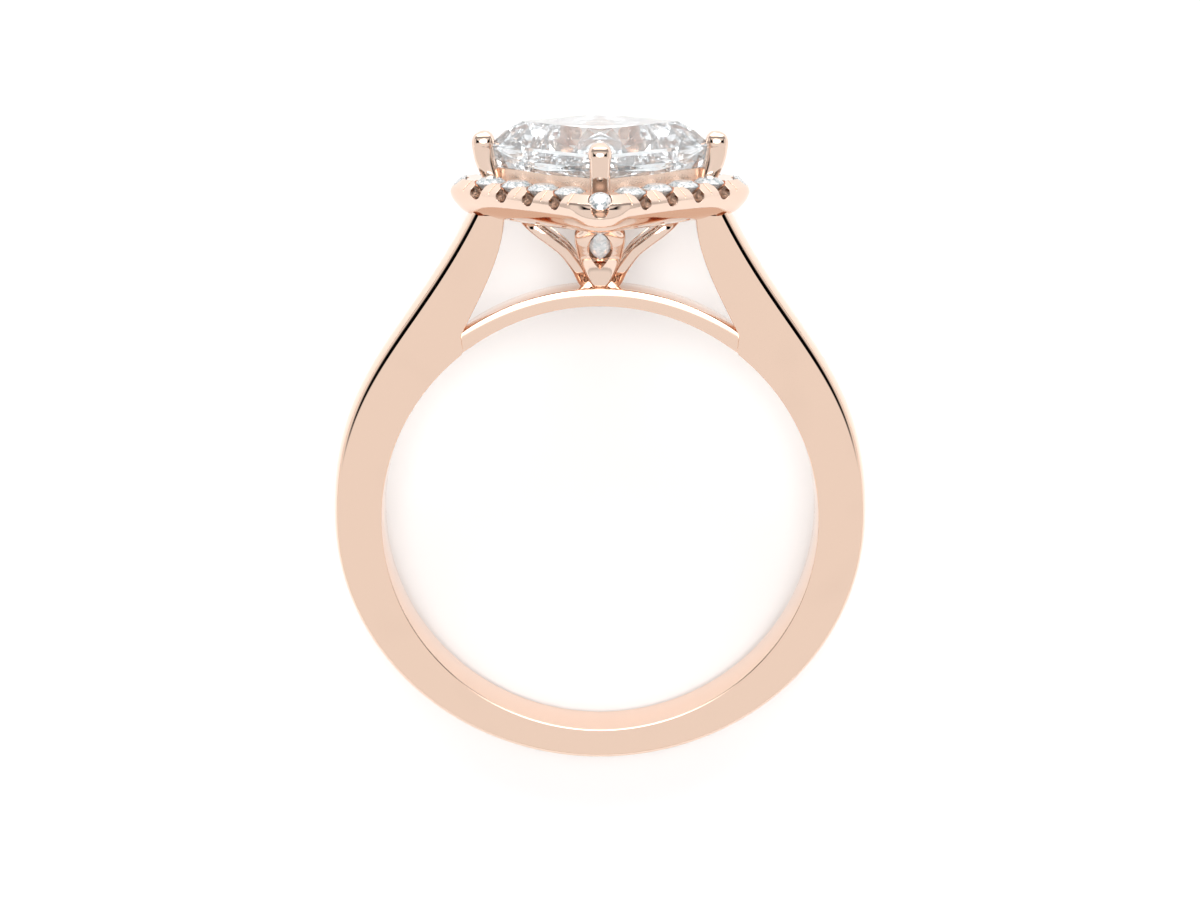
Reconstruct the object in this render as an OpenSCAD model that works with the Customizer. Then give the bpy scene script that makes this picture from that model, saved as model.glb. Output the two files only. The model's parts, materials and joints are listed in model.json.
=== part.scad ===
// Rose gold halo ring with cathedral shoulders and a square centre stone set corner to corner.
// Shapes are drawn standing up: X across the finger, Y along it, Z towards the head, with the
// centre of the finger hole at zero. at_rest() lays the ring on its side, as it lies on a table.

/* [Finger] */
// Inside diameter of the band
bore_d = 16.5; // [15.5:0.1:19]

/* [Band] */
// Width of the band along the finger
band_w = 2.08; // [1.9:0.02:2.4]
// Thickness of the flat side face beside the finger
band_side_t = 1.47; // [1.2:0.01:1.8]
// Thickness of the flat side face at the base
band_base_t = 0.82; // [0.7:0.01:1.2]
// Height of the dome over the outer edges, at the sides and shoulders
dome_side_h = 0.41; // [0.3:0.01:0.5]
// Height of the dome at the base
dome_base_h = 0.57; // [0.4:0.01:0.7]

/* [Shoulders] */
// How far a shoulder's outer edge lies inside the halo's corner
shoulder_inset = 1.12; // [0.9:0.01:1.3]
// Thickness of a shoulder under the halo
shoulder_t = 0.9; // [0.7:0.01:1]

/* [Bridge] */
// Thickness of the arc that closes the finger hole under the head
bridge_t = 0.67; // [0.5:0.01:0.9]
// Width of that arc along the finger
bridge_w = 1.76; // [1.5:0.02:1.9]

/* [Halo] */
// Height of the halo's underside over the bridge
halo_lift = 2.5; // [2.2:0.05:3]
// Height of the halo, underside to top
halo_h = 1.51; // [1.3:0.01:1.8]
// How far the halo's straight sides lie outside the centre stone's
halo_rim = 1.43; // [1.3:0.01:1.6]
// Radius of the halo's four corners
halo_corner_r = 1.5; // [1.2:0.05:1.8]
// Diameter of each halo stone along the sides
halo_stone_d = 1.15; // [1:0.01:1.2]
// Diameter of each corner stone
corner_stone_d = 0.78; // [0.7:0.01:0.85]
// Distance of the corner stones' centres from the halo's corners
corner_stone_inset = 0.36; // [0.3:0.01:0.45]
// How far those centres lie below the halo's top
corner_stone_drop = 0.2; // [0.15:0.01:0.25]
// Angle by which the corner stones lean out
corner_tilt = 45; // [40:1:50]
// Distance of the side stones' centres from the halo's outer edge
halo_stone_inset = 0.81; // [0.75:0.01:0.85]
// Width of the cut in the wall in front of each side stone
notch_w = 0.58; // [0.4:0.01:0.7]
// Width of the cut in front of each corner stone
corner_notch_w = 0.62; // [0.5:0.01:0.7]
// Depth of those cuts below the stones' edges
notch_depth = 0.54; // [0.4:0.01:0.7]
// The same depth at the corner stones
corner_notch_depth = 0.24; // [0.2:0.01:0.3]

/* [Rail] */
// How far the square rail lies inside the centre stone's edge
rail_inset = 0.2; // [0.15:0.01:0.3]
// Thickness of the rail
rail_t = 0.35; // [0.25:0.01:0.5]
// Height of the rail over the halo
rail_h = 0.4; // [0.25:0.01:0.45]

/* [Arms and prongs] */
// Greatest width of a petal-shaped arm
petal_w = 1.84; // [1.6:0.02:2]
// Thickness of an arm
petal_t = 0.5; // [0.4:0.01:0.6]
// Width of the pointed recess in a petal
window_w = 0.92; // [0.8:0.01:1]
// Length of that recess along the petal
window_len = 2.5; // [2.3:0.05:2.8]
// Thickness of the metal behind that recess
window_back = 0.14; // [0.1:0.01:0.16]
// Thickness of a prong's head
prong_d = 0.82; // [0.7:0.01:0.9]
// Height of a prong's top over the centre stone's edge
prong_rise = 0.53; // [0.4:0.01:0.6]

/* [Centre stone] */
// Width of the square stone across its sides
stone_w = 5.86; // [5.7:0.02:6]
// Height of the stone's edge over the halo
stone_lift = 1.2; // [1.15:0.01:1.4]
// Height from edge to table
crown_h = 0.87; // [0.6:0.01:1]
// Depth from edge to point
pavilion_h = 3.35; // [3:0.05:3.5]

/* [Petal stones] */
// Space beside each marquise stone in its recess
marquise_margin = 0.07; // [0.04:0.01:0.12]
// Length of each marquise stone
marquise_len = 2.1; // [1.8:0.05:2.2]
// How far each stone sits below the middle of its recess
marquise_slide = 0.08; // [0:0.02:0.2]

/* [Fits] */
// Space between a stone and its seat
stone_gap = 0.03; // [0.02:0.005:0.05]

/* [Hidden] */
SIDES = 4;
STONES_A_SIDE = 4;
HALO_STONES = SIDES * (STONES_A_SIDE + 1);

gold = [0.93, 0.80, 0.72];
diamond = [0.88, 0.91, 0.94];
$fn = 64;

// Section of the halo's outside, from its top edge round to its underside: distance from the
// centre as a share of half the halo's width, and height as a share of the halo's
halo_section = [
    [0.906, 1.00],
    [0.986, 0.82],
    [1.000, 0.66],
    [0.979, 0.50],
    [0.936, 0.34],
    [0.897, 0.23],
    [0.849, 0.15],
    [0.780, 0.08],
    [0.665, 0]
];
WIDEST = 2;
LEAST_CORNER = 0.06;

bore_r = bore_d / 2;
bridge_r = bore_r + bridge_t;
halo_z = bridge_r + halo_lift;
halo_top = halo_z + halo_h;
halo_a = stone_w / 2 + halo_rim;
halo_reach = corner_reach(halo_a);
girdle_z = halo_top + stone_lift;
stone_reach = stone_w / sqrt(2);
stone_line_a = halo_a - halo_stone_inset;
corner_stone_reach = halo_reach - corner_stone_inset;
// The side stones share the room along a side
halo_pitch = sqrt(2) * (halo_reach - 0.6 * halo_stone_d) / (STONES_A_SIDE + 1);
shoulder_reach = halo_reach - shoulder_inset;
marquise_w = window_w - 2 * marquise_margin;
// How far one part of the metal goes into the next, so that they are one piece
sink = 0.3;

function halo_stone_name(i) = str("halo_stone_", i < 10 ? "0" : "", i);
function petal_stone_name(i) = str("petal_stone_", i);

function mix(a, b, t) = a + (b - a) * t;
function unit(v) = v / norm(v);
function bezier(p, t) =
    pow(1 - t, 3) * p[0] + 3 * pow(1 - t, 2) * t * p[1] + 3 * (1 - t) * t * t * p[2] + pow(t, 3) * p[3];
function bezier_slope(p, t) =
    pow(1 - t, 2) * (p[1] - p[0]) + 2 * (1 - t) * t * (p[2] - p[1]) + t * t * (p[3] - p[2]);

// Skin over a row of rings that all have the same number of points
module skin(rings, closed = false) {
    n = len(rings[0]);
    rows = len(rings);
    last = closed ? rows - 1 : rows - 2;
    walls = [
        for (i = [0 : last], k = [0 : n - 1])
            let (a = i * n, b = (i + 1) % rows * n, m = (k + 1) % n)
            each [[a + k, a + m, b + m], [a + k, b + m, b + k]]
    ];
    ends = closed ? [] : [[for (k = [n - 1 : -1 : 0]) k], [for (k = [0 : n - 1]) (rows - 1) * n + k]];
    polyhedron([for (ring = rings) each ring], concat(walls, ends), convexity = 10);
}

// How the ring lies: the halo's back corner and the band's back lower edge are both on the table
widest_z = halo_z + halo_section[WIDEST][1] * halo_h;
base_edge = [band_w / 2, -(bore_r + band_base_t)];
rest_tilt = atan((halo_reach - base_edge[0]) / (widest_z - base_edge[1]));
module at_rest() rotate([rest_tilt - 90, 0, 0]) children();

// Band and shoulders

// Steps of the swept band: over a quarter of its base, up to the parting and up to the halo
BASE_STEPS = 16;
SIDE_STEPS = 12;
TOP_STEPS = 9;
// Share of the shoulder's curve at which its inside leaves the finger hole, and the angle there
PARTING = 0.7;
PARTING_ANGLE = 55;
DOME_STEPS = 8;

side_r = bore_r + band_side_t;
// The shoulders end a little way inside the halo
shoulder_rise = halo_z + 0.15 * halo_h;
outer_edge = [
    [side_r, 0],
    [side_r, 0.475 * shoulder_rise],
    [mix(shoulder_reach, side_r, 0.47), 0.578 * shoulder_rise],
    [shoulder_reach, shoulder_rise]
];
parting_point = 0.998 * bridge_r * [cos(PARTING_ANGLE), sin(PARTING_ANGLE)];
inner_reach = shoulder_reach - shoulder_t;
inner_rise = shoulder_rise - parting_point[1];
inner_edge = [
    parting_point,
    [mix(inner_reach, parting_point[0], 0.53), parting_point[1] + 0.34 * inner_rise],
    [inner_reach, parting_point[1] + 0.68 * inner_rise],
    [inner_reach, shoulder_rise]
];

// One cross-section, from its inner point to its outer one, with half an ellipse on top
function band_ring(inner, outer, out, dome_h = dome_side_h) = [
    [inner[0], -band_w / 2, inner[1]],
    [inner[0], band_w / 2, inner[1]],
    for (k = [0 : DOME_STEPS])
        let (w = 180 * k / DOME_STEPS, p = outer + out * dome_h * sin(w))
        [p[0], cos(w) * band_w / 2, p[1]]
];
function hidden_inner(angle) = (bore_r - sink) * [cos(angle), sin(angle)];
function base_ring(angle) =
    let (
        a = side_r, b = bore_r + band_base_t,
        outer = [a * cos(angle), b * sin(angle)], out = unit([cos(angle) / a, sin(angle) / b])
    )
    band_ring(hidden_inner(angle), outer, out, mix(dome_side_h, dome_base_h, pow(sin(angle), 2)));
function outward(t) = let (d = unit(bezier_slope(outer_edge, t))) [d[1], -d[0]];
function shoulder_ring(t, inner) = band_ring(inner, bezier(outer_edge, t), outward(t));
shoulder_end = shoulder_rise + sink;
// From beside the base, which ends in a short flat that the ring rests on
half_band = [
    for (k = [0 : BASE_STEPS - 1]) base_ring(-90 + 90 * (k + 0.5) / BASE_STEPS),
    base_ring(0),
    for (k = [1 : SIDE_STEPS])
        let (s = k / SIDE_STEPS) shoulder_ring(PARTING * s, hidden_inner(PARTING_ANGLE * s)),
    for (k = [0 : TOP_STEPS])
        let (s = k / TOP_STEPS) shoulder_ring(mix(PARTING + 0.01, 1, s), bezier(inner_edge, s)),
    band_ring([inner_reach, shoulder_end], [shoulder_reach, shoulder_end], outward(1))
];
function mirrored(ring) = [for (p = ring) [-p[0], p[1], p[2]]];
module band() skin(concat([for (k = [len(half_band) - 1 : -1 : 0]) mirrored(half_band[k])], half_band));

// The arc under the head, let into both shoulders
BRIDGE_END_ANGLE = 8;
module bridge() {
    half_angle = 90 - PARTING_ANGLE + BRIDGE_END_ANGLE;
    rotate([90, 0, 0])
        rotate([0, 0, 90 - half_angle])
            rotate_extrude(angle = 2 * half_angle, $fn = 180)
                translate([bore_r - sink, -bridge_w / 2])
                    square([bridge_t + sink, bridge_w]);
}

// Halo and rail

CORNER_STEPS = 8;

// A square with round corners; the corners stay on the axes, towards the four prongs
function corner_r(a) = max(LEAST_CORNER, halo_corner_r - (halo_a - a));
function corner_reach(a) = let (r = corner_r(a)) (a - r) * sqrt(2) + r;
function round_square(a, z) = [
    for (side = [0 : SIDES - 1], k = [0 : CORNER_STEPS])
        let (r = corner_r(a), turn = 90 * side, c = (a - r) * sqrt(2), w = turn - 45 + 90 * k / CORNER_STEPS)
        [c * cos(turn) + r * cos(w), c * sin(turn) + r * sin(w), z]
];
rail_a = stone_w / 2 - rail_inset;
hole_a = rail_a - rail_t;
rail_top = halo_top + rail_h;
frame_rings = concat(
    [round_square(hole_a, rail_top), round_square(rail_a, rail_top), round_square(rail_a, halo_top)],
    [for (row = halo_section) round_square(row[0] * halo_a, halo_z + row[1] * halo_h)],
    [round_square(hole_a, halo_z + 0.05 * halo_h)]
);

// Where each halo stone sits: its centre, the way out from it, and whether it is at a corner
function side_stones(side) = [
    for (k = [0 : STONES_A_SIDE - 1])
        let (along = (k - (STONES_A_SIDE - 1) / 2) * halo_pitch, w = 90 * side + 45)
        [[stone_line_a * cos(w) - along * sin(w), stone_line_a * sin(w) + along * cos(w)], w, false]
];
function corner_stone(side) =
    [corner_stone_reach * [cos(90 * side), sin(90 * side)], 90 * side, true];
halo_places = [for (side = [0 : SIDES - 1]) each concat([corner_stone(side)], side_stones(side))];
module at_place(place)
    translate([place[0][0], place[0][1], stone_z(place[2])])
        rotate([0, place[2] ? corner_tilt : 0, place[1]]) children();

// Brilliant cut, as shares of the diameter: table, crown, edge and point
TABLE = 0.57;
CROWN = 0.15;
EDGE = 0.03;
POINT = 0.43;
// How far a side stone's edge lies below the halo's top, as a share of its diameter
SIDE_SUNK = 0.05;
function stone_d(corner) = corner ? corner_stone_d : halo_stone_d;
function stone_z(corner) = halo_top - (corner ? corner_stone_drop : SIDE_SUNK * halo_stone_d);
// Height of a seat over the stone's edge
function seat_top(d) = (EDGE / 2 + CROWN) * d + stone_gap;

function circle_of(r, z, n, turn = 0) = [
    for (k = [0 : n - 1]) let (w = turn + 360 * k / n) [r * cos(w), r * sin(w), z]
];
module solid_of(points) hull() polyhedron(points, [[for (i = [0 : len(points) - 1]) i]]);
module brilliant(d) {
    r = d / 2;
    solid_of(concat(
        circle_of(TABLE * r, (EDGE / 2 + CROWN) * d, 8),
        circle_of(0.82 * r, (EDGE / 2 + 0.62 * CROWN) * d, 8, 22.5),
        circle_of(r, EDGE / 2 * d, 16),
        circle_of(r, -EDGE / 2 * d, 16),
        circle_of(0.36 * r, -0.66 * POINT * d, 8),
        [[0, 0, -(EDGE / 2 + POINT) * d]]
    ));
}

// The hollow that takes a brilliant, as high as the stone
module seat(d) {
    r = d / 2 + stone_gap;
    ledge_z = -EDGE / 2 * d - 2 * stone_gap;
    floor_z = ledge_z - 0.92 * POINT * d;
    rotate_extrude($fn = 48)
        polygon([[0, seat_top(d)], [r, seat_top(d)], [r, ledge_z], [0.24 * r, floor_z], [0, floor_z]]);
}
// The cut in the wall that shows a stone from outside, round below
module notch(w, depth, top) {
    rotate([90, 0, 90])
        linear_extrude(height = halo_stone_d * 1.5) {
            translate([0, w / 2 - depth]) circle(d = w, $fn = 32);
            translate([-w / 2, w / 2 - depth]) square([w, depth + top - w / 2]);
        }
}
module azure_hole() translate([0, 0, -2 * halo_h]) cylinder(d = 0.5 * halo_stone_d, h = 2 * halo_h, $fn = 32);

module halo() difference() {
    skin(frame_rings, closed = true);
    for (place = halo_places) if (!place[2]) at_place(place) azure_hole();
}
module halo_seats() for (place = halo_places) at_place(place) {
    seat(stone_d(place[2]));
    if (place[2]) notch(corner_notch_w, corner_notch_depth, seat_top(corner_stone_d));
    else notch(notch_w, notch_depth, seat_top(halo_stone_d));
}

// Arms and prongs

// An arm from the bridge into the halo: height as a share of halo_lift, reach as a share of
// the petal's at its top and width as a share of petal_w
petal_reach = 0.785 * stone_reach;
arm_rows = [
    [-0.08, 0.090, 0.27],
    [0.02, 0.143, 0.28],
    [0.09, 0.185, 0.35],
    [0.27, 0.252, 0.61],
    [0.41, 0.320, 0.77],
    [0.55, 0.403, 0.89],
    [0.65, 0.492, 0.94],
    [0.74, 0.582, 0.98],
    [0.83, 0.677, 1.00],
    [0.93, 0.769, 0.96],
    [1.03, 0.850, 0.68],
    [1.14, 0.929, 0.48],
    [1.25, 1.006, 0.44]
];
// The prong above: height from the halo's underside to the prong's top, reach as a share of the
// stone's, width and thickness as shares of prong_d
prong_top = girdle_z + prong_rise;
prong_rows = [
    [0.28, 0.849, 0.80, 0.66],
    [0.36, 0.927, 0.80, 0.70],
    [0.50, 0.963, 0.88, 0.75],
    [0.67, 1.013, 0.91, 0.95],
    [0.84, 1.033, 0.95, 1.02],
    [0.91, 1.038, 0.94, 0.97],
    [0.96, 1.046, 0.76, 0.77],
    [1.00, 1.056, 0.36, 0.38]
];
function on_petal(row) =
    [row[1] * petal_reach, bridge_r + row[0] * halo_lift, row[2] * petal_w / 2, petal_t / 2];
function on_prong(row) =
    [row[1] * stone_reach, mix(halo_z, prong_top, row[0]), row[2] * prong_d / 2, row[3] * prong_d / 2];
arm_path = concat([for (row = arm_rows) on_petal(row)], [for (row = prong_rows) on_prong(row)]);
ARM_SIDES = 12;
PETAL_ROWS = len(arm_rows);
// Flat-sided where it is a petal, round where it is a prong
function squareness(i) = i < PETAL_ROWS ? 0.5 : 1;
function signed_pow(v, e) = sign(v) * pow(abs(v), e);
// A ring of the path; wide and thick are shares of its size, and inset is how far it lies inwards
function arm_ring(i, wide = 1, thick = 1, inset = 0) =
    let (
        here = arm_path[i], before = arm_path[max(0, i - 1)], after = arm_path[min(len(arm_path) - 1, i + 1)],
        d = unit([after[0] - before[0], after[1] - before[1]]), e = squareness(i)
    )
    [for (k = [0 : ARM_SIDES - 1])
        let (
            w = 360 * (k + 0.5) / ARM_SIDES,
            across = wide * here[2] * signed_pow(cos(w), e),
            out = thick * here[3] * signed_pow(sin(w), e) - inset
        )
        [here[0] + out * d[1], across, here[1] - out * d[0]]];
// The metal behind the recess runs along inside the petal, a little short of its back and sides
BACK_SHY = 0.04;
BACK_WIDTH = 0.8;
module back_plate() {
    inset = (petal_t - window_back) / 2 - BACK_SHY * petal_t;
    skin([for (i = [1 : PETAL_ROWS - 2]) arm_ring(i, BACK_WIDTH, window_back / petal_t, inset)]);
}
module arm() {
    difference() {
        skin([for (i = [0 : len(arm_path) - 1]) arm_ring(i)]);
        at_window() lens(window_w, window_len, 4 * petal_t);
    }
    back_plate();
}

// The recess's place on a petal: halfway up the widest stretch, square to its face
WINDOW_ROW = 7;
window_foot = arm_path[WINDOW_ROW - 1];
window_head = arm_path[WINDOW_ROW + 1];
window_middle = (window_foot + window_head) / 2;
window_slope = atan2(window_head[1] - window_foot[1], window_head[0] - window_foot[0]);
module at_window()
    translate([window_middle[0], 0, window_middle[1]]) rotate([0, -window_slope, 0]) children();
// A pointed oval: two arcs that meet at both ends, standing through the petal
module lens(w, len, h) {
    r = (len * len / 4 + w * w / 4) / w;
    linear_extrude(height = h, center = true)
        intersection_for (s = [-1, 1]) translate([0, s * (r - w / 2)]) circle(r = r, $fn = 96);
}

module around_head() for (side = [0 : SIDES - 1]) rotate([0, 0, 90 * side]) children();

// Centre stone, a square cut with its corners towards the prongs

// As shares of half the stone's width: table, thickness of the edge and cut across each corner
STONE_TABLE = 0.69;
STONE_EDGE = 0.02;
CORNER_CUT = 0.06;
function square_of(a, z) = [for (k = [0 : 3]) let (w = 90 * k) a * sqrt(2) * [cos(w), sin(w), 0] + [0, 0, z]];
function cut_square(a, z) = [
    for (k = [0 : 3], s = [-1, 1])
        let (w = 90 * k + 45, along = s * a * (1 - CORNER_CUT))
        [a * cos(w) - along * sin(w), a * sin(w) + along * cos(w), z]
];
function side_middles(a, z) = circle_of(a, z, 4, 45);
// From the table down: its corners, the bend of the crown, the edge, the steep sides below it,
// the middles of the pavilion's sides and the point
module princess(grow = 0) {
    a = stone_w / 2 + grow;
    edge = STONE_EDGE * stone_w / 2 + grow;
    solid_of(concat(
        square_of(STONE_TABLE * a, crown_h + grow),
        square_of(0.83 * a, edge + 0.58 * crown_h),
        cut_square(a, edge),
        cut_square(a, -edge),
        square_of(0.965 * a, -edge - 0.13 * pavilion_h),
        square_of(0.90 * a, -edge - 0.23 * pavilion_h),
        side_middles(0.76 * a, -edge - 0.40 * pavilion_h),
        [[0, 0, -pavilion_h - grow]]
    ));
}
module at_girdle() translate([0, 0, girdle_z]) children();

// The pieces

module mounting() color(gold) at_rest() difference() {
    union() {
        band();
        bridge();
        halo();
        around_head() arm();
    }
    rotate([90, 0, 0]) cylinder(r = bore_r, h = 2 * band_w, center = true, $fn = 180);
    halo_seats();
    at_girdle() princess(stone_gap);
}

module center_stone() color(diamond) at_rest() at_girdle() princess();

module halo_stone(i) color(diamond) at_rest() let (place = halo_places[i - 1])
    at_place(place) brilliant(stone_d(place[2]));

// A marquise stone, with a flat table over a pointed outline and a keel below
MARQUISE_STEPS = 6;
MARQUISE_CROWN = 0.16;
MARQUISE_DEPTH = 0.18;
function lens_points(w, len, z) = let (r = (len * len / 4 + w * w / 4) / w, reach = asin(len / 2 / r)) [
    for (side = [-1, 1], k = [0 : MARQUISE_STEPS - 1])
        let (v = side * reach * (1 - 2 * k / MARQUISE_STEPS))
        [-side * r * sin(v) * side, -side * (r * cos(v) - r + w / 2), z]
];
module marquise() {
    keel = [for (s = [-1, 1]) [s * 0.25 * marquise_len, 0, -MARQUISE_DEPTH * marquise_w]];
    solid_of(concat(
        lens_points(marquise_w, marquise_len, 0),
        lens_points(0.6 * marquise_w, 0.6 * marquise_len, MARQUISE_CROWN * marquise_w),
        keel
    ));
}
// Its table faces out, just below the petal's face
marquise_sunk = petal_t / 2 - MARQUISE_CROWN * marquise_w - stone_gap;
module petal_stone(i) color(diamond) at_rest() rotate([0, 0, 90 * (i - 1)]) at_window()
    translate([-marquise_slide, 0, -marquise_sunk]) rotate([180, 0, 0]) marquise();

mounting();
center_stone();
for (i = [1 : HALO_STONES]) halo_stone(i);
for (i = [1 : SIDES]) petal_stone(i);
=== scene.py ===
import json
import math

import bmesh
import bpy
from mathutils import Matrix, Vector


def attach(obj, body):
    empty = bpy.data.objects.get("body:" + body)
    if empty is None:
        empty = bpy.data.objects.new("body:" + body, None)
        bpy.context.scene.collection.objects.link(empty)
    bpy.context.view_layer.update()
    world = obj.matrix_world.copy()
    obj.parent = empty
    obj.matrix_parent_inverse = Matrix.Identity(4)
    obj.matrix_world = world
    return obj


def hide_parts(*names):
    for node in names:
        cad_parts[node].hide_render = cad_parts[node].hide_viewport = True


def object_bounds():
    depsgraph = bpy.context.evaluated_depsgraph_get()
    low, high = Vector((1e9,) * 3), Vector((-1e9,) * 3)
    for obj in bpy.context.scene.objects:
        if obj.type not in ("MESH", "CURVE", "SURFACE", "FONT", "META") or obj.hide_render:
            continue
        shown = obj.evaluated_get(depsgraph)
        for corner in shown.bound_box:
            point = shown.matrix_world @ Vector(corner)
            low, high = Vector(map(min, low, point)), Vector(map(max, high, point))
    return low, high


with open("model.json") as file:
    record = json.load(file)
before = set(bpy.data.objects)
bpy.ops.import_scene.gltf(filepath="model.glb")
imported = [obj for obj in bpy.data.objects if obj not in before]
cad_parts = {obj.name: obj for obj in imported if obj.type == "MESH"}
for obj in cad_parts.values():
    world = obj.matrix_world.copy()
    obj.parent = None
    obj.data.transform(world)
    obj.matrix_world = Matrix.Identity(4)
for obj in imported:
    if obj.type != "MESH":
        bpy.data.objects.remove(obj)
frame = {"record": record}
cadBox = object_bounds()
print("frame loaded")

# The ring is drawn standing up, in millimetres, from the middle of the finger hole: x across the
# finger, y along it, z towards the head. layDown then turns each piece as the frame has it.
mm = 0.001
fingerHole = next(m for m in frame["record"]["mounts"] if m["name"] == "finger_bore")
alongFinger = -Vector(fingerHole["axis"])
acrossFinger = Vector((1, 0, 0))
towardsHead = acrossFinger.cross(alongFinger)
turn = Matrix((acrossFinger, alongFinger, towardsHead)).transposed()
layDown = Matrix.Scale(mm, 4) @ turn.to_4x4()

boreRadius = fingerHole["dims"]["r_mm"]
bandWidth = fingerHole["dims"]["length_mm"]


# Small helpers

def mix(a, b, share):
    return a + (b - a) * share


def smoothStep(low, high, value):
    t = min(1, max(0, (value - low) / (high - low)))
    return t * t * (3 - 2 * t)


def polar(angle):
    return Vector((math.cos(math.radians(angle)), math.sin(math.radians(angle))))


def bezier(p, t):
    return (1 - t) ** 3 * p[0] + 3 * (1 - t) ** 2 * t * p[1] + 3 * (1 - t) * t * t * p[2] + t ** 3 * p[3]


def bezierSlope(p, t):
    return (1 - t) ** 2 * (p[1] - p[0]) + 2 * (1 - t) * t * (p[2] - p[1]) + t * t * (p[3] - p[2])


# A smooth run through the rows of a table, with some steps between each two
def smoothRows(rows, steps):
    rows = [Vector(row) for row in rows]
    run = []
    for i in range(len(rows) - 1):
        before, here = rows[max(0, i - 1)], rows[i]
        there, after = rows[i + 1], rows[min(len(rows) - 1, i + 2)]
        for k in range(steps):
            t = k / steps
            run.append(0.5 * (2 * here + (there - before) * t
                              + (2 * before - 5 * here + 4 * there - after) * t * t
                              + (3 * here - before - 3 * there + after) * t ** 3))
    return run + [rows[-1]]


def srgb(hexColour):
    channels = [int(hexColour[i:i + 2], 16) / 255 for i in (0, 2, 4)]
    return tuple(c / 12.92 if c <= 0.04045 else ((c + 0.055) / 1.055) ** 2.4 for c in channels) + (1.0,)


# Adds a shader node with its settings, its fixed inputs and its links
def addNode(tree, kind, inputs=None, links=None, **settings):
    node = tree.nodes.new("ShaderNode" + kind)
    for name, value in settings.items():
        setattr(node, name, value)
    for name, value in (inputs or {}).items():
        node.inputs[name].default_value = value
    for name, source in (links or {}).items():
        tree.links.new(source, node.inputs[name])
    return node


# The two ends of a colour ramp
def setRamp(node, positions, colours):
    for element, position, colour in zip(node.color_ramp.elements, positions, colours):
        element.position, element.color = position, colour


# Meshes

# Skin over rings of points that all have the same number of points
def skinFaces(rings, closed=False):
    count = len(rings[0])
    faces = []
    for i in range(len(rings) if closed else len(rings) - 1):
        a, b = i * count, (i + 1) % len(rings) * count
        for k in range(count):
            m = (k + 1) % count
            faces.append((a + k, a + m, b + m, b + k))
    if not closed:
        faces.append(tuple(reversed(range(count))))
        faces.append(tuple((len(rings) - 1) * count + k for k in range(count)))
    return [p for ring in rings for p in ring], faces


def makeMesh(name, points, faces):
    mesh = bpy.data.meshes.new(name)
    mesh.from_pydata([tuple(p) for p in points], [], faces)
    shape = bmesh.new()
    shape.from_mesh(mesh)
    bmesh.ops.recalc_face_normals(shape, faces=shape.faces)
    shape.to_mesh(mesh)
    shape.free()
    piece = bpy.data.objects.new(name, mesh)
    bpy.context.scene.collection.objects.link(piece)
    return piece


def applyModifiers(piece):
    view = bpy.context.evaluated_depsgraph_get()
    view.update()
    mesh = bpy.data.meshes.new_from_object(piece.evaluated_get(view))
    piece.modifiers.clear()
    piece.data = mesh


# Takes the cutter out of a piece, and deletes the cutter
def cutAway(piece, cutter):
    cut = piece.modifiers.new("cut", "BOOLEAN")
    cut.operation = "DIFFERENCE"
    cut.solver = "EXACT"
    cut.object = cutter
    applyModifiers(piece)
    bpy.data.objects.remove(cutter)


# Lays a piece down in the frame, smooths it up to the crease angle and ties it to the part
def finishPiece(piece, material, nodes, crease=30):
    mesh = piece.data
    mesh.transform(layDown)
    shape = bmesh.new()
    shape.from_mesh(mesh)
    bmesh.ops.remove_doubles(shape, verts=shape.verts, dist=0.0004 * mm)
    for face in shape.faces:
        face.smooth = True
    for edge in shape.edges:
        edge.smooth = len(edge.link_faces) == 2 and edge.calc_face_angle(0) < math.radians(crease)
    shape.to_mesh(mesh)
    shape.free()
    if crease:
        weigh = piece.modifiers.new("weigh normals", "WEIGHTED_NORMAL")
        weigh.keep_sharp = True
        weigh.weight = 100
        applyModifiers(piece)
        mesh = piece.data
    mesh.materials.clear()
    mesh.materials.append(material)
    mesh.name = piece.name
    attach(piece, "root")
    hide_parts(*nodes)


# Materials

# 14 carat rose gold, cast and then polished with a felt wheel: a warm pink mirror that keeps very
# fine polishing marks and a faint unevenness. The real marks are too fine to show, so they are drawn
# as coarse as they need to be, 0.06 mm apart
roseGoldLook = {
    "markSpacing": 0.06,
    "markRoughness": (0.7, 1.4),
    "waveSpacing": 2.5,
    "waveEdges": (0.2, 0.45),
    "deepShare": 0.97,
}


def roseGold(name, colour, roughness, bevel=0.0):
    look = roseGoldLook
    material = bpy.data.materials.new(name)
    material.use_nodes = True
    tree = material.node_tree
    tree.nodes.clear()
    place = addNode(tree, "TexCoord").outputs["Object"]
    marks = addNode(tree, "TexNoise", {"Scale": 1 / (look["markSpacing"] * mm), "Detail": 3.0},
                    {"Vector": place})
    waves = addNode(tree, "TexNoise", {"Scale": 1 / (look["waveSpacing"] * mm), "Detail": 1.0},
                    {"Vector": place})
    tone = addNode(tree, "ValToRGB", links={"Fac": waves.outputs["Fac"]})
    setRamp(tone, look["waveEdges"], ([c * look["deepShare"] for c in srgb(colour)], srgb(colour)))
    least, most = look["markRoughness"]
    rough = addNode(tree, "MapRange", {"To Min": roughness * least, "To Max": roughness * most},
                    {"Value": marks.outputs["Fac"]})
    shader = addNode(tree, "BsdfPrincipled", {"Metallic": 1.0},
                     {"Base Color": tone.outputs["Color"], "Roughness": rough.outputs["Result"]})
    if bevel:
        edge = addNode(tree, "Bevel", {"Radius": bevel * mm}, samples=6)
        tree.links.new(edge.outputs["Normal"], shader.inputs["Normal"])
    addNode(tree, "OutputMaterial", links={"Surface": shader.outputs["BSDF"]})
    return material


# Cut diamond: clear, polished flat on every facet, with the high index that throws light back. The
# share that doesn't pass light is painted sparkle, a pale diffuse colour that stands for the reflections
# of facets too fine to model, and a fine pattern between two tones paints their light and dark glints
sparkleEdges = (0.3, 0.6)


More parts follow.
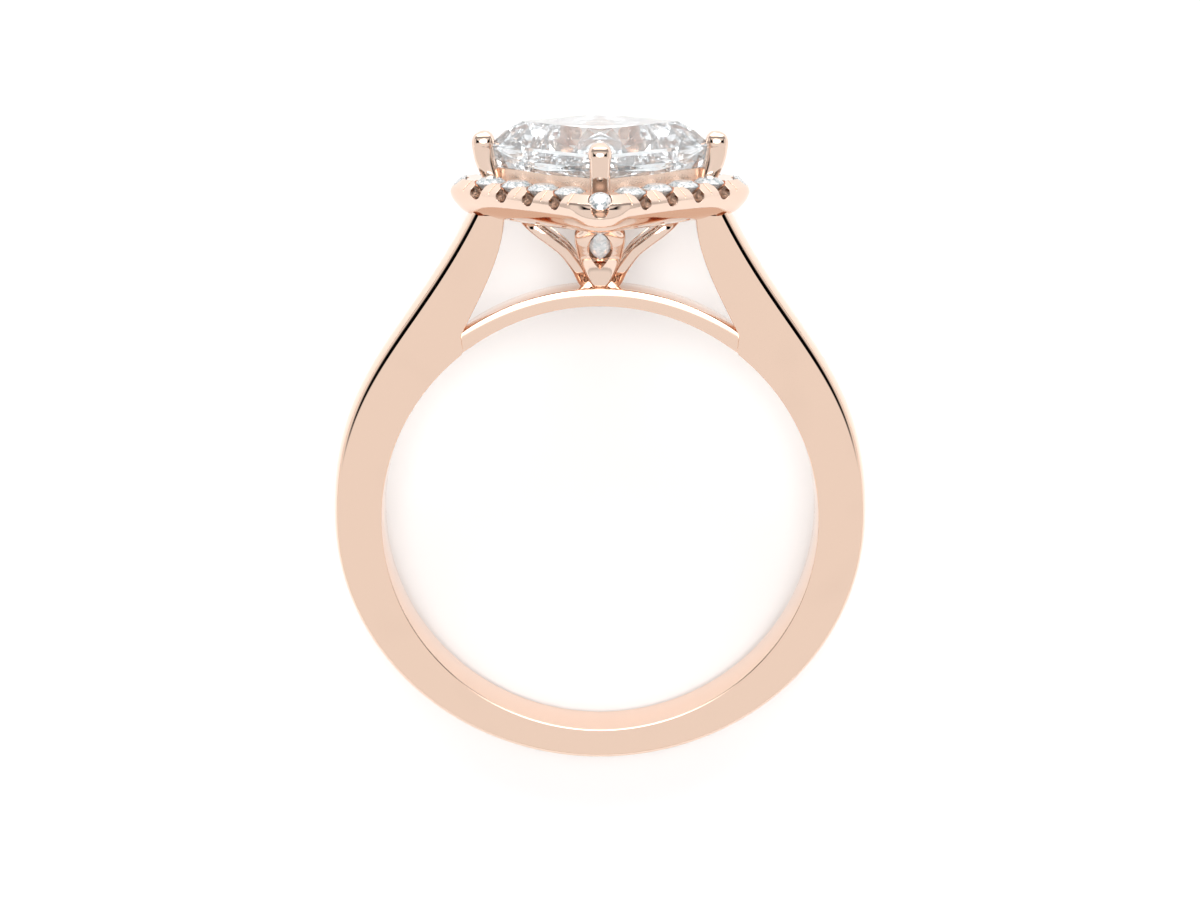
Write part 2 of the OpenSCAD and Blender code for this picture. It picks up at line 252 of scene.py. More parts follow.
def diamond(name, colour, darkSparkleColour, sparkleSize, clear):
    material = bpy.data.materials.new(name)
    material.use_nodes = True
    tree = material.node_tree
    shader = tree.nodes["Principled BSDF"]
    for socket, value in {"Roughness": 0.0, "IOR": 2.417, "Transmission Weight": clear}.items():
        shader.inputs[socket].default_value = value
    place = addNode(tree, "TexCoord").outputs["Object"]
    grainAndSparkle = addNode(tree, "TexVoronoi", {"Scale": 1 / (sparkleSize * mm)}, {"Vector": place})
    tone = addNode(tree, "ValToRGB", links={"Fac": grainAndSparkle.outputs["Color"]})
    setRamp(tone, sparkleEdges, (srgb(darkSparkleColour), srgb(colour)))
    tree.links.new(tone.outputs["Color"], shader.inputs["Base Color"])
    return material


# The wheel gives the band sharp reflections and rounds the edges of the cast head, and the rail out of
# its reach is satin. The metal behind the petals' stones is painted paler and brighter: painted light in the
# recesses
bandGold = roseGold("rose gold, mirror polished", "EDCFBB", 0.05)
headGold = roseGold("rose gold, polished casting", "E9CFBE", 0.07, bevel=0.03)
backGoldPaintedLight = roseGold("rose gold, bright cut", "F4E2D6", 0.12)
railGold = roseGold("rose gold, brushed smooth", "EBD0BE", 0.28, bevel=0.02)

# The large stone is glassy with a cool tint and a faint painted sparkle, the small ones carry painted
# glints in white and grey, and the marquises are mostly painted white sparkle
centreDiamond = diamond("diamond, large cut stone", "F4F9FC", "EBF2F6", 0.3, 0.96)
smallDiamond = diamond("diamond, small cut stones", "FFFFFF", "ACB9BD", 0.06, 0.5)
marquiseDiamond = diamond("diamond, marquise cut", "FFFFFF", "DCE3E6", 0.12, 0.3)
print("materials made")


# Band and shoulders

# Lengths in millimetres, angles in degrees up from the horizontal through the finger hole. The bends
# are shares of the shoulder's way up and across, where the handles of its two curves lie. Each part
# of the edge's curve turns up to an angle, in some steps, at a share of the dome as radius
band = {
    "sideThickness": 1.47,
    "baseThickness": 0.82,
    "sideDome": 0.41,
    "baseDome": 0.57,
    "shoulderInset": 1.12,
    "shoulderThickness": 0.9,
    "shoulderTop": 0.15,
    "outerBend": {"first": 0.475, "second": 0.578, "across": 0.47},
    "innerBend": {"first": 0.34, "second": 0.68, "across": 0.53},
    "partingAngle": 55,
    "partingShare": 0.7,
    "ledgeAngle": 3.5,
    "ledgeShare": 0.998,
    "edgeRound": 0.05,
    "edgeCurve": [(8, 2, 0.49), (30, 5, 1.02), (70, 5, 0.49)],
}
bridge = {"thickness": 0.67, "width": 1.76, "endAngle": 5, "endRise": 0.03, "edgeRound": 0.05}
stone = {"width": 5.86, "lift": 1.2, "crown": 0.87, "pavilion": 3.35}
halo = {
    "lift": 2.5,
    "height": 1.51,
    "rim": 1.43,
    "cornerRadius": 1.5,
    "leastCorner": 0.06,
    "holeFoot": 0.05,
    "stoneDiameter": 1.15,
    "stoneInset": 0.81,
    "cornerStoneDiameter": 0.78,
    "cornerStoneInset": 0.36,
    "cornerStoneDrop": 0.2,
    "cornerTilt": 45,
    "sideSunk": 0.05,
    "airHole": 0.25,
    "stonesOnSide": 4,
    "endSpace": 0.6,
    "notchWidth": 0.58,
    "cornerNotchWidth": 0.62,
    "notchDepth": 0.54,
    "cornerNotchDepth": 0.24,
    "notchHeight": 0.6,
    "notchReach": 1.5,
}
rail = {"inset": 0.2, "thickness": 0.35, "height": 0.4, "edge": 0.06, "back": 0.01, "sunk": 0.05}
stoneGap = 0.03

bridgeRadius = boreRadius + bridge["thickness"]
haloBottom = bridgeRadius + halo["lift"]
haloTop = haloBottom + halo["height"]
haloHalf = stone["width"] / 2 + halo["rim"]


def cornerRadius(half):
    return max(halo["leastCorner"], halo["cornerRadius"] - (haloHalf - half))


haloReach = (haloHalf - cornerRadius(haloHalf)) * math.sqrt(2) + cornerRadius(haloHalf)
stoneReach = stone["width"] / math.sqrt(2)
girdleHeight = haloTop + stone["lift"]


# Section of the dome over the band's outer edges: a round edge that runs into a shallow arc
def domeProfile(half, dome):
    arcSteps = 6
    edge, turned = [(half, 0.0)], 0
    for turnTo, steps, share in band["edgeCurve"]:
        for k in range(steps):
            a, b = (math.radians(mix(turned, turnTo, (k + step) / steps)) for step in (0, 1))
            y, height = edge[-1]
            edge.append((y - dome * share * (math.cos(a) - math.cos(b)),
                         height + dome * share * (math.sin(b) - math.sin(a))))
        turned = turnTo
    startY, startHeight = edge[-1]
    arc = [(startY * (1 - k / arcSteps), dome - (dome - startHeight) * (1 - k / arcSteps) ** 2)
           for k in range(1, arcSteps + 1)]
    side = edge + arc
    return side + [(-y, height) for y, height in reversed(side[:-1])]


def bandRing(inner, outer, out, dome):
    half, r = bandWidth / 2, band["edgeRound"]
    up = (outer - inner).normalized()
    ring = []
    for side in (-1, 1):
        for k in range(5):
            w = math.radians(90 * k / 4)
            w = w if side == 1 else math.pi / 2 - w
            p = inner + up * r * (1 - math.cos(w))
            ring.append((p.x, side * (half - r + r * math.sin(w)), p.y))
    for y, height in domeProfile(half, dome):
        p = outer + out * height
        ring.append((p.x, y, p.y))
    return ring


def buildBand():
    side, base = boreRadius + band["sideThickness"], boreRadius + band["baseThickness"]
    rise = haloBottom + band["shoulderTop"] * halo["height"]
    reach = haloReach - band["shoulderInset"]
    bend = band["outerBend"]
    outerEdge = [
        Vector((side, 0)),
        Vector((side, bend["first"] * rise)),
        Vector((mix(reach, side, bend["across"]), bend["second"] * rise)),
        Vector((reach, rise)),
    ]
    ledgeRadius = band["ledgeShare"] * bridgeRadius
    parting = ledgeRadius * polar(band["partingAngle"])
    bend, innerReach, innerRise = band["innerBend"], reach - band["shoulderThickness"], rise - parting.y
    innerEdge = [
        parting,
        Vector((mix(innerReach, parting.x, bend["across"]), parting.y + bend["first"] * innerRise)),
        Vector((innerReach, parting.y + bend["second"] * innerRise)),
        Vector((innerReach, rise)),
    ]

    def outward(t):
        slope = bezierSlope(outerEdge, t).normalized()
        return Vector((slope.y, -slope.x))

    def innerPoint(angle):
        share = smoothStep(band["partingAngle"] - band["ledgeAngle"], band["partingAngle"], angle)
        return mix(boreRadius, ledgeRadius, share) * polar(angle)

    half = []
    baseSteps, sideSteps, topSteps = 60, 60, 30
    for k in range(baseSteps + 1):
        angle = -90 + 90 * k / baseSteps
        at = polar(angle)
        outer, out = Vector((side * at.x, base * at.y)), Vector((at.x / side, at.y / base)).normalized()
        half.append(bandRing(boreRadius * at, outer, out, mix(band["sideDome"], band["baseDome"], at.y ** 2)))
    for k in range(1, sideSteps + 1):
        s = k / sideSteps
        t = band["partingShare"] * s
        inner = innerPoint(band["partingAngle"] * s)
        half.append(bandRing(inner, bezier(outerEdge, t), outward(t), band["sideDome"]))
    for k in range(1, topSteps + 1):
        s = k / topSteps
        t = mix(band["partingShare"], 1, s)
        half.append(bandRing(bezier(innerEdge, s), bezier(outerEdge, t), outward(t), band["sideDome"]))
    mirrored = [[(-x, y, z) for x, y, z in ring] for ring in reversed(half[1:])]
    piece = makeMesh("band", *skinFaces(mirrored + half))
    finishPiece(piece, bandGold, ["mounting"], crease=40)


def buildBridge():
    half, r, steps = bridge["width"] / 2, bridge["edgeRound"], 96
    reach = 90 - band["partingAngle"] + bridge["endAngle"]
    rings = []
    for i in range(steps + 1):
        turnBy = mix(-reach, reach, i / steps)
        hidden = smoothStep(reach - bridge["endAngle"], reach, abs(turnBy))
        inner, outer = boreRadius + bridge["endRise"] * hidden, bridgeRadius
        across = polar(90 - turnBy)
        ring = []
        corners = ((inner, -half, 180), (outer, -half, 90), (outer, half, 0), (inner, half, -90))
        for radius, y, start in corners:
            centreRadius = radius + (r if radius == inner else -r)
            centreY = y + (r if y < 0 else -r)
            for k in range(4):
                w = math.radians(start + (90 - 90 * k / 3))
                ring.append((centreRadius + r * math.sin(w), centreY + r * math.cos(w)))
        rings.append([(p * across.x, y, p * across.y) for p, y in ring])
    piece = makeMesh("bridge", *skinFaces(rings))
    finishPiece(piece, bandGold, ["mounting"], crease=40)


buildBand()
buildBridge()
print("band and bridge built")


# Halo

# Section of the halo's outside from its top edge down: shares of half its width and of its height
haloTopRows = [(0.906, 1.0), (0.986, 0.82)]
haloWallRows = [(0.986, 0.82), (0.996, 0.75), (1.0, 0.66), (0.979, 0.50), (0.936, 0.34), (0.897, 0.23),
                (0.849, 0.15), (0.780, 0.08), (0.665, 0)]
railHalf = stone["width"] / 2 - rail["inset"]
holeHalf = railHalf - rail["thickness"]
stoneLine = haloHalf - halo["stoneInset"]
cornerStoneReach = haloReach - halo["cornerStoneInset"]
lineLength = math.sqrt(2) * (haloReach - halo["endSpace"] * halo["stoneDiameter"])
stonePitch = lineLength / (halo["stonesOnSide"] + 1)

# Round cut, in shares of the stone's diameter, with rows of (reach, rise) as shares of the radius and
# of the crown's or the point's depth
cut = {
    "table": 0.57,
    "crown": 0.15,
    "edge": 0.03,
    "point": 0.43,
    "crownRow": (0.80, 0.60),
    "pavilionRow": (0.30, 0.74),
}
seat = {"foot": 0.24, "depth": 0.92}


# A square with round corners, its corners on the axes
def roundSquare(half, z, steps=16):
    r = cornerRadius(half)
    c = (half - r) * math.sqrt(2)
    ring = []
    for side in range(4):
        for k in range(steps + 1):
            a, w = math.radians(90 * side), math.radians(90 * side - 45 + 90 * k / steps)
            ring.append((c * math.cos(a) + r * math.cos(w), c * math.sin(a) + r * math.sin(w), z))
    return ring


# Each halo stone's middle, the way out from it, and whether it is at a corner
def haloPlaces():
    places = []
    count = halo["stonesOnSide"]
    for side in range(4):
        places.append((cornerStoneReach * polar(90 * side), 90 * side, True))
        for k in range(count):
            along = (k - (count - 1) / 2) * stonePitch
            out, beside = polar(90 * side + 45), polar(90 * side + 135)
            places.append((stoneLine * out + along * beside, 90 * side + 45, False))
    return places


places = haloPlaces()


def stoneSize(place):
    return halo["cornerStoneDiameter"] if place[2] else halo["stoneDiameter"]


# Joins shapes that are drawn around the origin, each at its own place, into one mesh
def joinAt(name, shapes):
    points, faces = [], []
    for matrix, (shapePoints, shapeFaces) in shapes:
        start = len(points)
        points += [matrix @ Vector(p) for p in shapePoints]
        faces += [tuple(start + k for k in face) for face in shapeFaces]
    return makeMesh(name, points, faces)


# The corner stones lean out, the side stones lie flat
def placeMatrix(place):
    middle, angle, atCorner = place
    z = haloTop - (halo["cornerStoneDrop"] if atCorner else halo["sideSunk"] * halo["stoneDiameter"])
    lean = Matrix.Rotation(math.radians(halo["cornerTilt"] if atCorner else 0), 4, "Y")
    return Matrix.Translation((middle.x, middle.y, z)) @ Matrix.Rotation(math.radians(angle), 4, "Z") @ lean


def circle(radius, z, count, turnBy=0):
    return [(radius * math.cos(math.radians(turnBy + 360 * k / count)),
             radius * math.sin(math.radians(turnBy + 360 * k / count)), z) for k in range(count)]


# The convex shape over some points
def hullPiece(name, points, matrix):
    mesh = bpy.data.meshes.new(name)
    shape = bmesh.new()
    for p in points:
        shape.verts.new(p)
    hull = bmesh.ops.convex_hull(shape, input=shape.verts)
    inside = [v for v in hull["geom_interior"] if isinstance(v, bmesh.types.BMVert)]
    bmesh.ops.delete(shape, geom=inside, context="VERTS")
    bmesh.ops.dissolve_limit(shape, angle_limit=math.radians(0.5), verts=shape.verts, edges=shape.edges)
    bmesh.ops.recalc_face_normals(shape, faces=shape.faces)
    shape.to_mesh(mesh)
    shape.free()
    mesh.transform(matrix)
    piece = bpy.data.objects.new(name, mesh)
    bpy.context.scene.collection.objects.link(piece)
    return piece


def squareCorners(half, z):
    return circle(half * math.sqrt(2), z, 4)


# Square cut. Rows at its corners and at the middles of its sides: reach as a share of half the
# width, rise or fall as a share of the crown or of the pavilion
squareCut = {
    "table": 0.69,
    "edge": 0.02,
    "cornerCut": 0.06,
    "crownCorner": (0.83, 0.58),
    "crownMiddle": (0.90, 0.40),
    "pavilionCorners": [(0.965, 0.13), (0.90, 0.23), (0.70, 0.41), (0.44, 0.63)],
    "pavilionMiddles": [(0.955, 0.20), (0.80, 0.37), (0.57, 0.58), (0.30, 0.81)],
}


def cutSquare(half, z):
    points = []
    for k in range(4):
        for s in (-1, 1):
            out, beside = polar(90 * k + 45), polar(90 * k + 135)
            p = half * out + s * half * (1 - squareCut["cornerCut"]) * beside
            points.append((p.x, p.y, z))
    return points


def squareCutPoints(grow=0.0):
    a, edge = stone["width"] / 2 + grow, squareCut["edge"] * stone["width"] / 2
    crown, depth = stone["crown"] + grow, stone["pavilion"] + grow
    points = squareCorners(squareCut["table"] * a, crown)
    reach, rise = squareCut["crownCorner"]
    points += squareCorners(reach * a, edge + rise * crown)
    reach, rise = squareCut["crownMiddle"]
    points += circle(reach * a, edge + rise * crown, 4, 45)
    points += cutSquare(a, edge) + cutSquare(a, -edge)
    for reach, fall in squareCut["pavilionCorners"]:
        points += squareCorners(reach * a, -edge - fall * depth)
    for reach, fall in squareCut["pavilionMiddles"]:
        points += circle(reach * a, -edge - fall * depth, 4, 45)
    return points + [(0, 0, -depth)]


centreMatrix = Matrix.Translation((0, 0, girdleHeight))


# Lets the centre stone's seat into a piece of the head
def cutStoneSeat(piece):
    cutAway(piece, hullPiece("stone seat", squareCutPoints(stoneGap), centreMatrix))


# The hollow that takes a round stone
def seatShape(d):
    r = d / 2 + stoneGap
    ledge = -cut["edge"] / 2 * d - 2 * stoneGap
    floor = ledge - seat["depth"] * cut["point"] * d
    top = (cut["edge"] / 2 + cut["crown"]) * d + stoneGap
    return skinFaces([circle(seat["foot"] * r, floor, 48), circle(r, ledge, 48), circle(r, top, 48)])


# The cut in front of a stone: a round-bottomed slot from the stone's middle outwards
def notchShape(width, depth):
    r, bottom, top = width / 2, -depth, halo["notchHeight"]
    outline = [(r, top), (-r, top)]
    for w in range(0, 181, 9):
        outline.append((-r * math.cos(math.radians(w)), bottom + r - r * math.sin(math.radians(w))))
    reach = halo["notchReach"] * halo["stoneDiameter"]
    return skinFaces([[(x, y, z) for y, z in outline] for x in (0, reach)])


# The thin groove that splits the bead between two cuts, square to the bevel at the halo's top. The
# grooves spread out like a fan, by some degrees from one to the next
splitGroove = {"width": 0.04, "depth": 0.05, "length": 0.7, "spacing": 0.985, "fan": 4}


def grooveShape():
    half, reach, depth = splitGroove["width"] / 2, splitGroove["length"] / 2, splitGroove["depth"]
    corners = [(-reach, -half), (reach, -half), (reach, half), (-reach, half)]
    return skinFaces([[(x, y, z) for x, y in corners] for z in (-depth, 6 * depth)])


# The grooves lie halfway between neighbours, along the sides and beside the corners
def grooveMatrices():
    (topShare, topRise), (edgeShare, edgeRise) = haloTopRows
    middle = haloHalf * (topShare + edgeShare) / 2
    z = haloBottom + halo["height"] * (topRise + edgeRise) / 2
    slope = math.atan2((topRise - edgeRise) * halo["height"], (edgeShare - topShare) * haloHalf)
    matrices = []
    for side in range(4):
        out, beside = polar(90 * side + 45), polar(90 * side + 135)
        for step in (-2, -1, 0, 1, 2):
            p = middle * out + splitGroove["spacing"] * step * stonePitch * beside
            around = Matrix.Rotation(math.radians(90 * side + 45 + splitGroove["fan"] * step), 4, "Z")
            matrices.append(Matrix.Translation((p.x, p.y, z)) @ around @ Matrix.Rotation(slope, 4, "Y"))
    return matrices


def buildHalo():
    rows = [(holeHalf / haloHalf, halo["holeFoot"]), (holeHalf / haloHalf, 1.0), haloTopRows[0]]
    rows += [tuple(row) for row in smoothRows(haloWallRows, 4)]
    rings = [roundSquare(a * haloHalf, haloBottom + z * halo["height"]) for a, z in rows]
    piece = makeMesh("halo", *skinFaces(rings, closed=True))
    cutAway(piece, joinAt("seats", [(placeMatrix(p), seatShape(stoneSize(p))) for p in places]))
    sideNotch = notchShape(halo["notchWidth"], halo["notchDepth"])
    cornerNotch = notchShape(halo["cornerNotchWidth"], halo["cornerNotchDepth"])
    cutAway(piece, joinAt("cuts", [(placeMatrix(p), cornerNotch if p[2] else sideNotch) for p in places]))
    r = halo["airHole"] * halo["stoneDiameter"]
    airHole = skinFaces([circle(r, z, 32) for z in (-2 * halo["height"], -0.1)])
    cutAway(piece, joinAt("air holes", [(placeMatrix(p), airHole) for p in places if not p[2]]))
    cutAway(piece, joinAt("grooves", [(matrix, grooveShape()) for matrix in grooveMatrices()]))
    finishPiece(piece, headGold, ["mounting"], crease=24)


# The rail's foot is sunk into the halo, a little back from the edge of its hole
def buildRail():
    inside, foot = holeHalf + rail["back"], haloTop - rail["sunk"]
    top, edge = haloTop + rail["height"], rail["edge"]
    rows = [(inside, foot), (inside, top - edge), (inside + edge, top), (railHalf - edge, top),
            (railHalf - edge / 4, top - edge / 3), (railHalf, top - edge), (railHalf, foot)]
    piece = makeMesh("gallery_rail", *skinFaces([roundSquare(a, z, 6) for a, z in rows], closed=True))
    cutStoneSeat(piece)
    finishPiece(piece, railGold, ["mounting"], crease=40)


buildHalo()
buildRail()
print("halo and rail built")


# Petals and prongs

# Petal: height as a share of the halo's lift, reach and width as shares of the petal's
petalRows = [
    (-0.08, 0.090, 0.27), (0.02, 0.143, 0.28), (0.09, 0.185, 0.35), (0.27, 0.252, 0.61),
    (0.41, 0.320, 0.77), (0.55, 0.403, 0.89), (0.65, 0.492, 0.94), (0.74, 0.582, 0.98),
    (0.83, 0.677, 1.00), (0.93, 0.769, 0.96), (1.03, 0.850, 0.68), (1.14, 0.929, 0.48),
]
# Prong: height from the halo's underside to its top, reach as a share of the stone's, width and
# thickness as shares of its head's
prongRows = [
    (0.16, 0.790, 0.80, 0.64), (0.28, 0.880, 0.82, 0.70), (0.38, 0.948, 0.84, 0.76),
    (0.50, 0.975, 0.86, 0.80), (0.67, 1.018, 0.88, 0.95), (0.80, 1.034, 0.91, 1.01),
    (0.84, 1.036, 1.00, 1.05), (0.875, 1.037, 1.02, 1.05), (0.91, 1.038, 0.98, 0.99),
    (0.945, 1.040, 0.87, 0.87), (0.975, 1.042, 0.66, 0.66), (0.992, 1.044, 0.40, 0.40),
    (1.00, 1.045, 0.10, 0.10),
]
petal = {
    "reach": 0.785,
    "width": 1.84,
    "thickness": 0.5,
    "recessWidth": 0.92,
    "recessLength": 2.5,
    "recessRow": 7,
    "backThickness": 0.14,
    "backWidth": 0.8,
    "backShy": 0.04,
    "squareness": 0.42,
}
prong = {"head": 0.82, "rise": 0.53, "squareness": 0.72}
petalReach = petal["reach"] * stoneReach
prongTop = girdleHeight + prong["rise"]


# Rings along a path of (reach, height, half width, half thickness): the less the squareness, the
# squarer their section, and inset is how far they lie inwards
def armRings(path, squareness, count, inset=0):
    rings = []
    for i, (reach, height, halfWidth, halfThickness) in enumerate(path):
        before, after = path[max(0, i - 1)], path[min(len(path) - 1, i + 1)]
        d = Vector((after[0] - before[0], after[1] - before[1])).normalized()
        ring = []
        for k in range(count):
            w = 2 * math.pi * (k + 0.5) / count
            across = halfWidth * math.copysign(abs(math.cos(w)) ** squareness, math.cos(w))
            out = halfThickness * math.copysign(abs(math.sin(w)) ** squareness, math.sin(w)) - inset
            ring.append((reach + out * d.y, across, height - out * d.x))
        rings.append(ring)
    return rings


def pointedOval(width, length, z, steps=16):
    r = (length ** 2 / 4 + width ** 2 / 4) / width
    reach = math.asin(length / 2 / r)
    points = []
    for side in (1, -1):
        for k in range(steps):
            v = reach * (1 - 2 * k / steps)
            points.append((side * r * math.sin(v), side * (r * math.cos(v) - r + width / 2), z))
    return points


def petalPath():
    return [(row[1] * petalReach, bridgeRadius + row[0] * halo["lift"], row[2] * petal["width"] / 2,
             petal["thickness"] / 2) for row in petalRows]


def recessMatrix():
    path = petalPath()
    foot, head = Vector(path[petal["recessRow"] - 1][:2]), Vector(path[petal["recessRow"] + 1][:2])
    middle, way = (foot + head) / 2, head - foot
    return Matrix.Translation((middle.x, 0, middle.y)) @ Matrix.Rotation(-math.atan2(way.y, way.x), 4, "Y")


# The metal behind the recess, inside the petal and a little short of its back and sides
def backRings():
    inset = (petal["thickness"] - petal["backThickness"]) / 2 - petal["backShy"] * petal["thickness"]
    path = [(reach, height, petal["backWidth"] * halfWidth, petal["backThickness"] / 2)
            for reach, height, halfWidth, _ in petalPath()[1:-1]]
    return armRings(smoothRows(path, 5), petal["squareness"], 24, inset)


def armTurn(side):
    return Matrix.Rotation(math.radians(90 * side), 4, "Z")


sideNames = ("right", "back", "left", "front")


def buildArms():
    for side, name in enumerate(sideNames):
        rings = armRings(smoothRows(petalPath(), 5), petal["squareness"], 40)
        piece = makeMesh(f"petal_{name}", *skinFaces(rings))
        through = 2 * petal["thickness"]
        recess = skinFaces([pointedOval(petal["recessWidth"], petal["recessLength"], z)
                            for z in (-through, through)])
        cutAway(piece, joinAt("recess", [(recessMatrix(), recess)]))
        piece.data.transform(armTurn(side))
        finishPiece(piece, headGold, ["mounting"], crease=35)
        # The metal behind each recess takes the paler gold, painted light
        piece = makeMesh(f"petal_back_{name}", *skinFaces(backRings()))
        piece.data.transform(armTurn(side))
        finishPiece(piece, backGoldPaintedLight, ["mounting"], crease=35)
        path = [(row[1] * stoneReach, mix(haloBottom, prongTop, row[0]), row[2] * prong["head"] / 2,
                 row[3] * prong["head"] / 2) for row in prongRows]
        piece = makeMesh(f"prong_{name}", *skinFaces(armRings(smoothRows(path, 6), prong["squareness"], 36)))
        cutStoneSeat(piece)
        piece.data.transform(armTurn(side))
        finishPiece(piece, headGold, ["mounting"], crease=50)


buildArms()
print("petals and prongs built")


# Stones

def cutStone(name, points, matrix, material, node):
    piece = hullPiece(name, points, matrix)
    finishPiece(piece, material, [node], crease=0)


def roundCutPoints(d):
    r = d / 2
    points = circle(cut["table"] * r, (cut["edge"] / 2 + cut["crown"]) * d, 8)
    reach, rise = cut["crownRow"]
    points += circle(reach * r, (cut["edge"] / 2 + rise * cut["crown"]) * d, 8, 22.5)
    points += circle(r, cut["edge"] / 2 * d, 32) + circle(r, -cut["edge"] / 2 * d, 32)
    reach, fall = cut["pavilionRow"]
    points += circle(reach * r, -fall * cut["point"] * d, 8)
    return points + [(0, 0, -(cut["edge"] / 2 + cut["point"]) * d)]


# Marquise, its crown and depth as shares of its width. Rows of width, length and rise, as shares of
# the stone's, and the steps on each side
marquise = {
    "margin": 0.07,
    "length": 2.1,
    "slide": 0.08,
    "crown": 0.16,
    "depth": 0.18,
    "rows": [(1.0, 1.0, 0.0, 6), (0.82, 0.84, 0.6, 4), (0.58, 0.6, 1.0, 2)],
    "keel": 0.25,
}
marquiseWidth = petal["recessWidth"] - 2 * marquise["margin"]


def marquisePoints():
    length = marquise["length"]
    crown, depth = marquise["crown"] * marquiseWidth, marquise["depth"] * marquiseWidth
    points = []
    for wide, long, rise, steps in marquise["rows"]:
        points += pointedOval(wide * marquiseWidth, long * length, rise * crown, steps)
    return points + [(s * marquise["keel"] * length, 0, -depth) for s in (-1, 1)]


def buildStones():
    cutStone("centre_diamond", squareCutPoints(), centreMatrix, centreDiamond,
             "center_stone")
    for i, place in enumerate(places):
        cutStone(f"round_diamond_{i + 1:02d}", roundCutPoints(stoneSize(place)), placeMatrix(place),
                 smallDiamond, f"halo_stone_{i + 1:02d}")
    sunk = petal["thickness"] / 2 - marquise["crown"] * marquiseWidth - stoneGap
    faceOut = Matrix.Translation((-marquise["slide"], 0, -sunk)) @ Matrix.Rotation(math.pi, 4, "X")
    for side, name in enumerate(sideNames):
        cutStone(f"marquise_diamond_{name}", marquisePoints(), armTurn(side) @ recessMatrix() @ faceOut,
                 marquiseDiamond, f"petal_stone_{side + 1}")


buildStones()
print("stones cut")


# Floor, light and camera

# A sheet of white card with a fine paper grain, so large that its edge stays far off
studio = {
    "floorSize": 3.0,
    "floorColour": "F7F7F7",
    "roughness": 0.7,
    "grainSpacing": 0.4,
    "grainDepth": 0.02,
}


def buildFloor():
    half, z = studio["floorSize"] / 2, cadBox[0][2]
    mesh = bpy.data.meshes.new("floor")
    corners = [(-half, -half, z), (half, -half, z), (half, half, z), (-half, half, z)]
    mesh.from_pydata(corners, [], [(0, 1, 2, 3)])
    floor = bpy.data.objects.new("floor", mesh)
    bpy.context.scene.collection.objects.link(floor)
    material = bpy.data.materials.new("white card, matt")
    material.use_nodes = True
    tree = material.node_tree
    shader = tree.nodes["Principled BSDF"]
    place = addNode(tree, "TexCoord").outputs["Object"]
    grainAndSparkle = addNode(tree, "TexNoise", {"Scale": 1 / (studio["grainSpacing"] * mm), "Detail": 2.0},
                    {"Vector": place})
    bump = addNode(tree, "Bump", {"Strength": 0.05, "Distance": studio["grainDepth"] * mm},
                   {"Height": grainAndSparkle.outputs["Fac"]})
    shader.inputs["Base Color"].default_value = srgb(studio["floorColour"])
    shader.inputs["Roughness"].default_value = studio["roughness"]
    tree.links.new(bump.outputs["Normal"], shader.inputs["Normal"])
    mesh.materials.append(material)


# The light is white all round, with a dusky horizon, a bright lamp overhead and a window that the
# head faces. A dimmer gap beside the window gives the centre stone its grey facets, and two black
# cards that stand left and right and lean outwards draw the dark lines on the shoulders. Each pair
# of limits runs from none to full, along a direction's share of x, y or z
light = {
    "dusk": [(0.0, 0.6), (0.03, 0.7), (0.10, 1.0)],
    "lampEdge": (0.955, 0.975),
    "lamp": 4.8,
    "windowEdge": (0.72, 0.80),
    "windowFoot": (0.0, 0.05),
    "window": 3.8,
    "gapNear": (0.36, 0.40),
    "gapFar": (0.72, 0.68),
    "gap": 0.6,
    "cardReach": (0.31, 0.34),
    "cardEnd": (0.86, 0.70),
    "cardFoot": (0.26, 0.30),
    "cardTop": (0.95, 0.93),
    "cardNear": (-0.26, -0.18),
    "cardFar": (-0.28, -0.34),
    "cardSlant": 0.95,
}


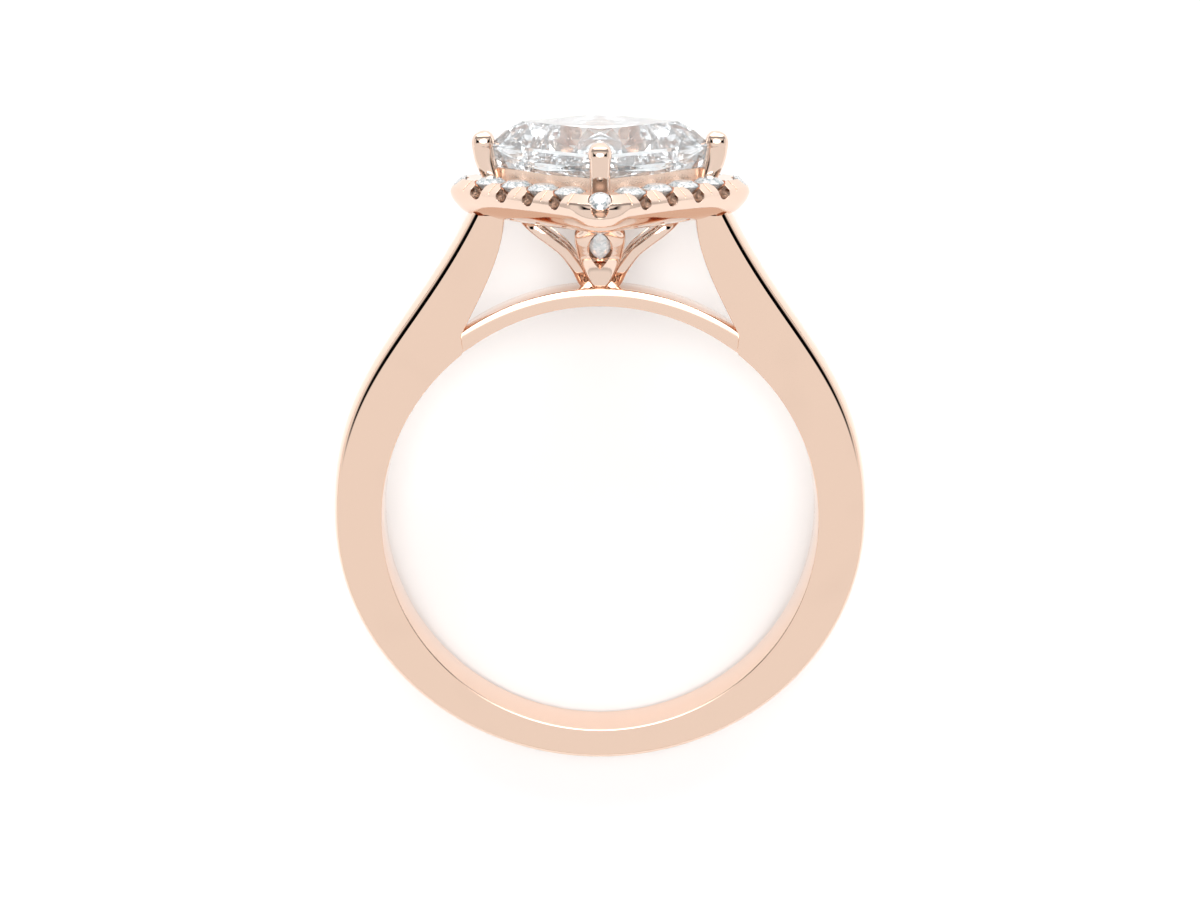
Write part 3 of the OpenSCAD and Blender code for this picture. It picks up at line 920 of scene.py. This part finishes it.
def buildLight():
    world = bpy.data.worlds.new("studio")
    bpy.context.scene.world = world
    world.use_nodes = True
    tree = world.node_tree
    tree.nodes.clear()
    way = addNode(tree, "TexCoord").outputs["Generated"]
    parts = addNode(tree, "SeparateXYZ", links={"Vector": way})

    # Rises from 0 to 1 between two limits
    def between(source, limits):
        limits = {"From Min": limits[0], "From Max": limits[1]}
        return addNode(tree, "MapRange", limits, {"Value": source}).outputs[0]

    def combine(operation, a, b):
        return addNode(tree, "Math", operation=operation, links={0: a, 1: b}).outputs[0]

    def overlap(*masks):
        mask = masks[0]
        for other in masks[1:]:
            mask = combine("MULTIPLY", mask, other)
        return mask

    def scale(source, factor):
        return addNode(tree, "Math", {1: factor}, {0: source}, operation="MULTIPLY").outputs[0]

    across, along, up = (parts.outputs[axis] for axis in "XYZ")
    level = addNode(tree, "ValToRGB", links={"Fac": up})
    low, middle, high = light["dusk"]
    setRamp(level, (low[0], high[0]), ((low[1],) * 3 + (1,), (high[1],) * 3 + (1,)))
    level.color_ramp.elements.new(middle[0]).color = (middle[1],) * 3 + (1,)
    aside = addNode(tree, "Math", operation="ABSOLUTE", links={0: across}).outputs[0]
    leaning = combine("ADD", along, scale(aside, -light["cardSlant"]))
    card = overlap(between(aside, light["cardReach"]), between(along, light["cardNear"]),
                   between(leaning, light["cardFar"]), between(aside, light["cardEnd"]),
                   between(up, light["cardFoot"]), between(up, light["cardTop"]))
    gap = scale(overlap(between(along, light["gapNear"]), between(along, light["gapFar"])), light["gap"])
    lamp = scale(between(up, light["lampEdge"]), light["lamp"])
    window = overlap(between(along, light["windowEdge"]), between(up, light["windowFoot"]))
    lamps = combine("ADD", lamp, scale(window, light["window"]))
    dark = combine("MAXIMUM", card, gap)
    clear = addNode(tree, "Math", {0: 1.0}, {1: dark}, operation="SUBTRACT").outputs[0]
    plain = overlap(level.outputs["Color"], clear)
    background = addNode(tree, "Background", links={"Color": combine("ADD", plain, lamps)})
    addNode(tree, "OutputWorld", links={"Surface": background.outputs["Background"]})


# The camera looks along the finger hole from a little above, as in the photo
view = {"place": (0, -88, 23.5), "down": 13.37, "lens": 71.5, "sensor": 36}


def buildCamera():
    data = bpy.data.cameras.new("camera")
    data.lens, data.sensor_width = view["lens"], view["sensor"]
    data.clip_start, data.clip_end = 1 * mm, 5
    down = math.radians(view["down"])
    forward = turn @ Vector((0, math.cos(down), -math.sin(down)))
    up = turn @ Vector((0, math.sin(down), math.cos(down)))
    aim = Matrix((acrossFinger, up, -forward)).transposed().to_4x4()
    camera = bpy.data.objects.new("camera", data)
    camera.matrix_world = Matrix.Translation(layDown @ Vector(view["place"])) @ aim
    bpy.context.scene.collection.objects.link(camera)
    bpy.context.scene.camera = camera


buildFloor()
buildLight()
buildCamera()
bpy.context.scene.view_settings.view_transform = "Standard"
# Light runs round inside a diamond many times before it comes out
bpy.context.scene.cycles.max_bounces = 24
bpy.context.scene.cycles.glossy_bounces = 20
bpy.context.scene.cycles.transmission_bounces = 20
print("studio built")
